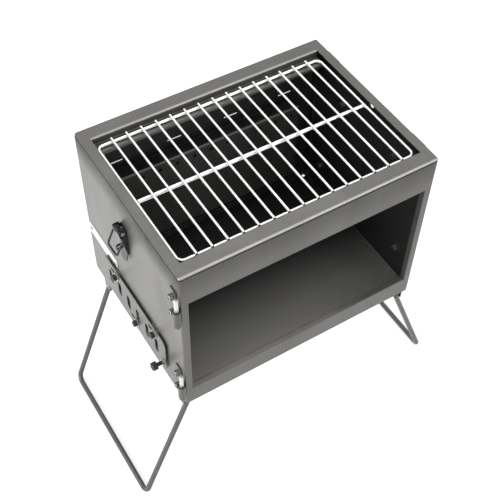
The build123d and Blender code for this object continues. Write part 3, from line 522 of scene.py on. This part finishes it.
def coated_metal(name, dark, light, roughness, metallic, grain, waves=0.0, patch_scale=14.0,
                 specks=0.0, streaks=0.0, soot_and_shade=None, edge=0.0, edge_colour=bare_edge,
                 edge_radius=0.0009, shaded_sides=0.0, lines=()):
    """A metal or paint whose tone, sheen and grain vary over the surface."""
    material = bpy.data.materials.new(name)
    material.use_nodes = True
    tree = material.node_tree
    inputs = tree.nodes["Principled BSDF"].inputs
    inputs["Metallic"].default_value = metallic
    patches = use_group(tree, patch_group, Scale=patch_scale)
    colour = mix_colours(tree, patches, dark, light)
    if specks:
        dots = use_group(tree, speck_group, Amount=specks)
        colour = mix_towards(tree, dots, ash_strength, colour, ash_colour)
    surface = use_group(tree, grain_group, Strength=grain, Wave_Strength=waves)
    feed(tree, inputs["Normal"], surface)
    swing = math_node(tree, "SUBTRACT", patches, 0.5)
    swing = math_node(tree, "MULTIPLY", swing, patch_sheen)
    sheen = math_node(tree, "ADD", swing, roughness, clamp=True)
    # Upright bands lighten the colour: scuffs, and partly a painted sheen of reflected bands.
    if streaks:
        bands = use_group(tree, streak_group, Contrast=streaks)
        pale_bands = math_node(tree, "SUBTRACT", bands, scuff_and_sheen_start, clamp=True)
        colour = mix_towards(tree, pale_bands, scuff_and_sheen_strength, colour, scuff_and_sheen_colour)
        swing = math_node(tree, "SUBTRACT", 0.5, bands)
        swing = math_node(tree, "MULTIPLY", swing, streak_sheen)
        sheen = math_node(tree, "ADD", sheen, swing, clamp=True)
    # Soot and painted shade darken the inside and dull its sheen.
    if soot_and_shade is not None:
        black = use_group(tree, soot_and_shade_group, Front_Start=soot_and_shade[0], Front_Fade=soot_and_shade[1])
        colour = mix_towards(tree, black, soot_and_shade_strength, colour, soot_and_shade_colour)
        clean = math_node(tree, "SUBTRACT", 1.0, black)
        feed(tree, inputs["Metallic"], math_node(tree, "MULTIPLY", clean, metallic))
        duller = math_node(tree, "MULTIPLY", black, soot_and_shade_dullness)
        sheen = math_node(tree, "ADD", sheen, duller, clamp=True)
    # Worn edges show bare metal; with the black colour the line is a painted shadow instead.
    if edge:
        edge_mark = use_group(tree, edge_group, Radius=edge_radius)
        colour = mix_towards(tree, edge_mark, edge, colour, edge_colour)
    # Painted shade on the border's end faces.
    if shaded_sides:
        colour = mix_towards(tree, side_shade(tree), shaded_sides, colour, soot_and_shade_colour)
    # Painted highlights: pale lines along rounded bends and edges.
    for line_y, line_z, width, half_length, strength in lines:
        highlight = use_group(tree, highlight_line_group, Y=line_y, Z=line_z, Width=width,
                           Half_Length=half_length)
        colour = mix_towards(tree, highlight, strength, colour, highlight_colour)
    feed(tree, inputs["Base Color"], colour)
    feed(tree, inputs["Roughness"], sheen)
    return material


# %% [markdown]
# ### Heat paint
#
# The walls, the border and the damper share one grey heat paint and differ in how much soot,
# painted shade and wear they show. The duct is dark, as soot and partly as painted shade inside
# the box, and the floor is paler where ash lies and where painted light falls in through the
# mouth. Soot and painted shade are given as how far behind the front they start and over what
# depth they thicken. A painted highlight line is given as its Y, its Z, its width, half its length
# and its strength.

# %% Paints
# Soot and painted shade on the walls start just behind the mouth.
wall_soot_and_shade = (0.006, 0.008)
floor_soot_and_shade = (0.028, 0.12)
grey_paint = {"dark": (0.1, 0.097, 0.091), "light": (0.165, 0.161, 0.152), "metallic": 0.45,
              "grain": 0.14}
heat_paint = coated_metal(
    "heat_paint", **grey_paint, roughness=0.36, waves=0.22, specks=0.13, edge=0.45,
    soot_and_shade=wall_soot_and_shade, streaks=0.9)

end_border = 0.0235
side_border = 0.014
half_width = firebox_size.x / 2
half_opening = half_width - side_border
edge_inset = 0.0005
# Painted highlights along the border's front edge and the bends of the opening.
border_lines = (
    (front_y + edge_inset, top_z - edge_inset, 0.0026, half_width, 0.85),
    (rear_y - end_border, top_z - edge_inset, 0.0028, half_opening, 0.75),
    (front_y + end_border, top_z, 0.0022, half_opening, 0.25),
)
# The border's end faces take painted shade.
border_paint = coated_metal(
    "border_paint", **grey_paint, roughness=0.36, waves=0.2, specks=0.1, edge=0.35, streaks=0.7,
    shaded_sides=0.85, lines=border_lines)
# The damper's black edges are a painted shadow of the gap between it and the wall.
damper_paint = coated_metal(
    "damper_paint", **grey_paint, roughness=0.38, waves=0.1, specks=0.1, edge=2.4,
    edge_colour=painted_shadow_edge, edge_radius=0.0014, streaks=0.6)

duct_low, duct_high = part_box("air_duct")
duct_fall = 0.0055
duct_inset = 0.0008
# Painted highlights along the duct's edges.
duct_lines = (
    (duct_low.y + duct_inset, duct_high.z - duct_inset, 0.0026, half_width, 0.34),
    (duct_high.y, duct_high.z - duct_fall, 0.0028, half_width, 0.2),
    (duct_low.y + duct_inset, duct_low.z + duct_inset, 0.0022, half_width, 0.1),
)
# The duct's dark colour is soot and partly painted shade inside the box.
duct_paint = coated_metal(
    "duct_paint", dark=(0.022, 0.02, 0.018), light=(0.034, 0.031, 0.028), roughness=0.6,
    metallic=0.2, grain=0.2, waves=0.2, specks=0.12, edge=0.12, streaks=0.8, lines=duct_lines)
# The floor is pale near the mouth and darkens towards the rear: painted light that falls in
# through the mouth, fading into soot and painted shade.
floor_paint = coated_metal(
    "floor_paint", dark=(0.2, 0.196, 0.187), light=(0.26, 0.255, 0.243), roughness=0.5,
    metallic=0.35, grain=0.18, waves=0.15, specks=0.16, edge=0.6, soot_and_shade=floor_soot_and_shade)
print("paints", len(bpy.data.materials))

# %% [markdown]
# ### Metals and dark coats
#
# The fittings are small, so their patches are small too, which takes a larger noise scale. The
# hinge leaves have black edges, as the damper has: a painted shadow of the gap behind them, and
# these draw their outlines on the wall.

# %% Metals
dull_zinc = coated_metal(
    "dull_zinc", dark=(0.16, 0.157, 0.15), light=(0.34, 0.335, 0.325), roughness=0.36,
    metallic=1.0, grain=0.1, patch_scale=120.0, edge=0.5, edge_radius=0.0005)
chrome_wire = coated_metal(
    "chrome_wire", dark=(0.8, 0.8, 0.79), light=(0.92, 0.92, 0.91), roughness=0.16,
    metallic=1.0, grain=0.03, patch_scale=40.0)
bright_zinc = coated_metal(
    "bright_zinc", dark=(0.55, 0.55, 0.53), light=(0.74, 0.74, 0.72), roughness=0.3,
    metallic=1.0, grain=0.08, patch_scale=60.0)
black_oxide = coated_metal(
    "black_oxide", dark=(0.018, 0.018, 0.018), light=(0.035, 0.034, 0.033), roughness=0.36,
    metallic=0.0, grain=0.12, patch_scale=80.0)
latch_black = coated_metal(
    "latch_black", dark=(0.008, 0.008, 0.008), light=(0.018, 0.018, 0.018), roughness=0.22,
    metallic=0.0, grain=0.08, patch_scale=60.0)
hinge_grey = coated_metal(
    "hinge_grey", dark=(0.07, 0.068, 0.064), light=(0.14, 0.137, 0.13), roughness=0.32,
    metallic=0.5, grain=0.14, patch_scale=50.0, edge=2.2, edge_colour=painted_shadow_edge,
    edge_radius=0.0013)
leg_coat = coated_metal(
    "leg_coat", dark=(0.07, 0.069, 0.065), light=(0.12, 0.118, 0.112), roughness=0.36,
    metallic=0.35, grain=0.12, patch_scale=30.0)
bare_plate = coated_metal(
    "bare_plate", dark=(0.82, 0.82, 0.81), light=(0.94, 0.94, 0.93), roughness=0.14,
    metallic=1.0, grain=0.02, patch_scale=50.0)
rivet_steel = coated_metal(
    "rivet_steel", dark=(0.4, 0.4, 0.39), light=(0.6, 0.6, 0.58), roughness=0.32,
    metallic=1.0, grain=0.06, patch_scale=90.0)
print("finishes", len(bpy.data.materials))

# %% [markdown]
# ## Handing the finishes out
#
# The record says which slot each node has, so one table of slot to finish dresses the whole
# stove. A second table names the few nodes that look different from the rest of their slot.

# %% Dress the nodes
finish_of_slot = {
    "body_paint": heat_paint,
    "bright_zinc": bright_zinc,
    "hinge_steel": hinge_grey,
    "black_oxide": black_oxide,
    "latch_black": latch_black,
    "rivet_steel": rivet_steel,
    "leg_steel": leg_coat,
    "grill_chrome": chrome_wire,
    "nameplate_steel": bare_plate,
}
finish_of_node = {
    "floor_pan": floor_paint,
    "top_frame": border_paint,
    "air_duct": duct_paint,
    "air_damper": damper_paint,
    "nameplate_rivets": dull_zinc,
    "hinge_screws": dull_zinc,
    "hinge_nuts": dull_zinc,
}


def dress(piece, material):
    """One material all over a piece."""
    piece.data.materials.clear()
    piece.data.materials.append(material)


for entry in frame["record"]["subparts"]:
    slot_finish = finish_of_slot[entry["material_slot"]]
    dress(nodes[entry["node"]], finish_of_node.get(entry["node"], slot_finish))

# %% [markdown]
# ## Helpers for modelling
#
# A CAD node comes in as loose triangles, so its separate solids are found on a merged copy that
# is thrown away. Each new piece keeps its object at the origin, like the nodes, with its place
# in its mesh, and rides on a body.

# %% Solids of a node
same_point = 0.000002


def solids_of(name):
    """The points of each separate solid of a node, from the lowest X, Y and Z on."""
    copy = bmesh.new()
    copy.from_mesh(nodes[name].data)
    bmesh.ops.remove_doubles(copy, verts=copy.verts, dist=same_point)
    waiting = set(copy.verts)
    solids = []
    while waiting:
        found = [waiting.pop()]
        for vertex in found:
            for edge in vertex.link_edges:
                other = edge.other_vert(vertex)
                if other in waiting:
                    waiting.remove(other)
                    found.append(other)
        solids.append([vertex.co.copy() for vertex in found])
    copy.free()
    return sorted(solids, key=lambda points: [min(p[axis] for p in points) for axis in range(3)])


def middle_of(points):
    """The middle of the box round some points."""
    sides = [[p[axis] for p in points] for axis in range(3)]
    return Vector([(min(side) + max(side)) / 2 for side in sides])


bar_middles = [middle_of(points) for points in solids_of("grill_bars")]
print("grill bars", len(bar_middles))
print("first and last x", round(bar_middles[0].x, 3), round(bar_middles[-1].x, 3))

# %% Copies joined into one piece
def deselect_all():
    """Object mode with nothing selected."""
    if bpy.context.object and bpy.context.object.mode != "OBJECT":
        bpy.ops.object.mode_set(mode="OBJECT")
    bpy.ops.object.select_all(action="DESELECT")


def set_places(original, matrices, name):
    """One piece made of a copy of the original at each place; the original is used up."""
    copies = []
    for matrix in matrices:
        copy = original.copy()
        copy.data = original.data.copy()
        copy.data.transform(matrix)
        bpy.context.scene.collection.objects.link(copy)
        copies.append(copy)
    bpy.data.objects.remove(original)
    deselect_all()
    for copy in copies:
        copy.select_set(True)
    bpy.context.view_layer.objects.active = copies[0]
    if len(copies) > 1:
        bpy.ops.object.join()
    piece = bpy.context.active_object
    piece.name = name
    deselect_all()
    return piece


def finish_piece(piece, body, material):
    """The piece dressed and riding on its body."""
    dress(piece, material)
    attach(piece, body)
    print(piece.name, len(piece.data.polygons), "faces")


# %% [markdown]
# ## Spot welds on the grill
#
# Every bar is pressed into the rim wire and the crossbar while current melts the touching metal,
# which leaves a small flattened nugget at each crossing. One nugget starts as a sphere, is
# flattened and pushed about a little, and is then copied to all crossings, each turned a bit
# further than the last.

# %% Grill welds
nugget_radius = 0.0016
nugget_shape = (1.2, 1.15, 0.7)
nugget_roughness = 0.00015
nugget_turn = 0.7


def make_nugget():
    """A squashed drop of weld metal at the origin."""
    deselect_all()
    bpy.ops.mesh.primitive_uv_sphere_add(segments=12, ring_count=7, radius=nugget_radius)
    nugget = bpy.context.active_object
    bpy.ops.object.mode_set(mode="EDIT")
    bpy.ops.mesh.select_all(action="SELECT")
    bpy.ops.transform.resize(value=nugget_shape)
    bpy.ops.transform.vertex_random(offset=nugget_roughness, uniform=0.2, normal=0.6, seed=4)
    bpy.ops.mesh.vertices_smooth(factor=0.4)
    bpy.ops.mesh.normals_make_consistent(inside=False)
    bpy.ops.object.mode_set(mode="OBJECT")
    bpy.ops.object.shade_smooth()
    return nugget


rim_low, rim_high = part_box("grill_rim")
cross_low, cross_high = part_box("grill_crossbar")
rim_wire = (rim_high.z - rim_low.z) / 2
weld_rows = (
    (rim_low.y + rim_wire, rim_high.z),
    (rim_high.y - rim_wire, rim_high.z),
    ((cross_low.y + cross_high.y) / 2, cross_high.z),
)
weld_places = [
    Matrix.Translation((bar.x, row_y, row_z)) @ Matrix.Rotation(nugget_turn * index, 4, "Z")
    for row_y, row_z in weld_rows
    for index, bar in enumerate(bar_middles)
]
grill_welds = set_places(make_nugget(), weld_places, "grill_welds")
finish_piece(grill_welds, "grill", chrome_wire)

# %% [markdown]
# ## Threads on the screw ends
#
# Where a screw comes out of its nut, its thread shows. The thread is a small triangle wound
# round the shank by the Screw modifier, which keeps its pitch exact, and the two open ends are
# closed afterwards.

# %% One thread
thread_pitch = 0.0008
thread_depth = 0.00032
steps_per_turn = 12
touching = 0.00001


def make_thread(radius, length):
    """A helix of triangular section about Z, from the origin up."""
    deselect_all()
    bpy.ops.mesh.primitive_circle_add(vertices=3, radius=thread_depth, fill_type="NOTHING")
    thread = bpy.context.active_object
    bpy.ops.object.mode_set(mode="EDIT")
    bpy.ops.mesh.select_all(action="SELECT")
    for angle, axis in ((-math.pi / 2, "Z"), (math.pi / 2, "X")):
        bpy.ops.transform.rotate(value=angle, orient_axis=axis, center_override=(0, 0, 0))
    bpy.ops.transform.translate(value=(radius, 0, thread_depth))
    bpy.ops.object.mode_set(mode="OBJECT")
    winding = thread.modifiers.new("winding", "SCREW")
    winding.axis = "Z"
    winding.screw_offset = thread_pitch
    winding.iterations = max(1, round((length - 2 * thread_depth) / thread_pitch))
    winding.steps = steps_per_turn
    winding.render_steps = steps_per_turn
    bpy.ops.object.modifier_apply(modifier=winding.name)
    bpy.ops.object.mode_set(mode="EDIT")
    bpy.ops.mesh.select_all(action="SELECT")
    bpy.ops.mesh.remove_doubles(threshold=touching)
    bpy.ops.mesh.select_all(action="DESELECT")
    bpy.ops.mesh.select_non_manifold()
    bpy.ops.mesh.fill_holes(sides=4)
    bpy.ops.mesh.select_all(action="SELECT")
    bpy.ops.mesh.normals_make_consistent(inside=False)
    bpy.ops.object.mode_set(mode="OBJECT")
    return thread


# %% [markdown]
# All these screws run along X, so a side of +1 or -1 says which way a thread points. The shank's
# radius and its free length are measured on the solids, and each nut finds its own screw by the
# shortest distance across.

# %% Threads in their places
face_slack = 0.0001
head_share = 0.8
past_head = 0.0005


def across(point, centre):
    """How far a point is from a screw's centre line."""
    return math.hypot(point.y - centre.y, point.z - centre.z)


def thread_place(start, side):
    """Where a thread made along Z has to go to start at a point and run along X."""
    turn = Vector((side, 0, 0)).to_track_quat("Z", "Y").to_matrix().to_4x4()
    return Matrix.Translation(start) @ turn


def free_end(nut, screw_solids, side):
    """Where a screw leaves its nut, how far it goes on and how thick it is there."""
    centre = middle_of(nut)
    screw = min(screw_solids, key=lambda points: across(middle_of(points), centre))
    nut_face = max(side * p.x for p in nut)
    radius = max(across(p, centre) for p in screw if side * p.x > nut_face - face_slack)
    length = max(side * p.x for p in screw) - nut_face
    return Vector((side * nut_face, centre.y, centre.z)), length, radius


def thread_ends(screws, nuts, side, name, material):
    """Threads where one node's screws come out of their nuts, all as long as the first."""
    screw_solids = solids_of(screws)
    ends = [free_end(nut, screw_solids, side) for nut in solids_of(nuts)]
    _, length, radius = ends[0]
    places = [thread_place(start, side) for start, _, _ in ends]
    piece = set_places(make_thread(radius, length), places, name)
    finish_piece(piece, "firebox", material)


def knob_thread():
    """The thread between the damper knob's nut and its head, which is in full view."""
    nut = solids_of("damper_knob_nut")[0]
    screw = solids_of("damper_knob_screw")[0]
    centre = middle_of(nut)
    widest = max(across(p, centre) for p in screw)
    nut_face = min(p.x for p in nut)
    head_face = max(p.x for p in screw if across(p, centre) > head_share * widest)
    shank = max(across(p, centre) for p in screw if p.x > head_face + past_head)
    print("knob shank", round(shank, 4), "free", round(nut_face - head_face, 4))
    thread = make_thread(shank, nut_face - head_face - thread_pitch)
    place = thread_place(Vector((nut_face, centre.y, centre.z)), -1)
    piece = set_places(thread, [place], "damper_knob_thread")
    finish_piece(piece, "damper", black_oxide)


knob_thread()
for screws, nuts, side, name, slot, material in (
    ("side_plate_screws", "side_plate_nuts", -1, "side_plate_threads", "black_oxide", black_oxide),
    ("hinge_screws", "hinge_nuts", 1, "hinge_threads", "bright_zinc", dull_zinc),
    ("damper_guide_screws", "damper_guide_nuts", 1, "damper_threads", "black_oxide", black_oxide),
):
    thread_ends(screws, nuts, side, name, material)

# %% [markdown]
# ## The studio
#
# The stove stands on a white sweep. The floor is a large plane that the camera sees as white,
# and that still takes a faint shadow. The light is one broad lamp from the left, a softer one
# from above, a small weak one from the front right, and a pale world.

# %% Floor
floor_size = 14
floor_white = (0.8, 0.8, 0.8, 1)
floor_glow = 0.6
plain_white = (1, 1, 1, 1)


def seen_or_mirrored(tree):
    """1 for what the camera sees straight on or in a reflection, 0 for light that falls."""
    path = tree.nodes.new("ShaderNodeLightPath").outputs
    return math_node(tree, "MAXIMUM", path["Is Camera Ray"], path["Is Glossy Ray"])


def make_floor_material():
    """White to the camera and in reflections, and still able to take a soft shadow."""
    material = bpy.data.materials.new("white_floor")
    material.use_nodes = True
    tree = material.node_tree
    tree.nodes.clear()
    matt = add_node(tree, "ShaderNodeBsdfDiffuse", Color=floor_white).outputs[0]
    glow = add_node(tree, "ShaderNodeEmission", Color=plain_white, Strength=floor_glow).outputs[0]
    both = feed_in_order(tree, tree.nodes.new("ShaderNodeAddShader"), matt, glow).outputs[0]
    switch = tree.nodes.new("ShaderNodeMixShader")
    feed_in_order(tree, switch, seen_or_mirrored(tree), matt, both)
    add_node(tree, "ShaderNodeOutputMaterial", Surface=switch.outputs[0])
    return material


def add_floor():
    """A plane far larger than the view."""
    bpy.ops.mesh.primitive_plane_add(size=floor_size, location=(middle.x, middle.y, 0))
    floor = bpy.context.active_object
    floor.name = "studio_floor"
    bpy.ops.object.transform_apply(location=True, rotation=True, scale=True)
    dress(floor, make_floor_material())
    return floor


floor = add_floor()
print("floor", [round(side, 2) for side in floor.dimensions])

# %% [markdown]
# A large lamp close by gives soft shadows, and a small one puts a bright line on the edges. Each
# lamp is given as its place, its side and its power, and all of them point at the firebox.

# %% Lamps and world
lamps = {
    "key_left": ((-1.9, -0.1, 0.9), 1.4, 34),
    "fill_top": ((0.3, 0.6, 2.4), 2.0, 14),
    "front_strip": ((0.95, -1.75, 1.35), 0.6, 6),
}
world_strength = 0.4


def add_area(name, place, size, power):
    """A square soft lamp that points at the middle of the firebox."""
    data = bpy.data.lights.new(name, "AREA")
    data.size = size
    data.energy = power
    lamp = bpy.data.objects.new(name, data)
    lamp.location = place
    lamp.rotation_euler = (middle - Vector(place)).to_track_quat("-Z", "Y").to_euler()
    bpy.context.scene.collection.objects.link(lamp)


def set_world():
    """Pale light all round, seen as plain white by the camera and in reflections."""
    world = bpy.data.worlds.new("studio_world")
    bpy.context.scene.world = world
    world.use_nodes = True
    tree = world.node_tree
    sky = tree.nodes["Background"].inputs
    sky["Color"].default_value = plain_white
    extra = math_node(tree, "MULTIPLY", seen_or_mirrored(tree), 1.0 - world_strength)
    feed(tree, sky["Strength"], math_node(tree, "ADD", extra, world_strength))


for name, (place, size, power) in lamps.items():
    add_area(name, place, size, power)
set_world()
bpy.context.scene.view_settings.view_transform = "Standard"
print("lamps", sorted(lamps))
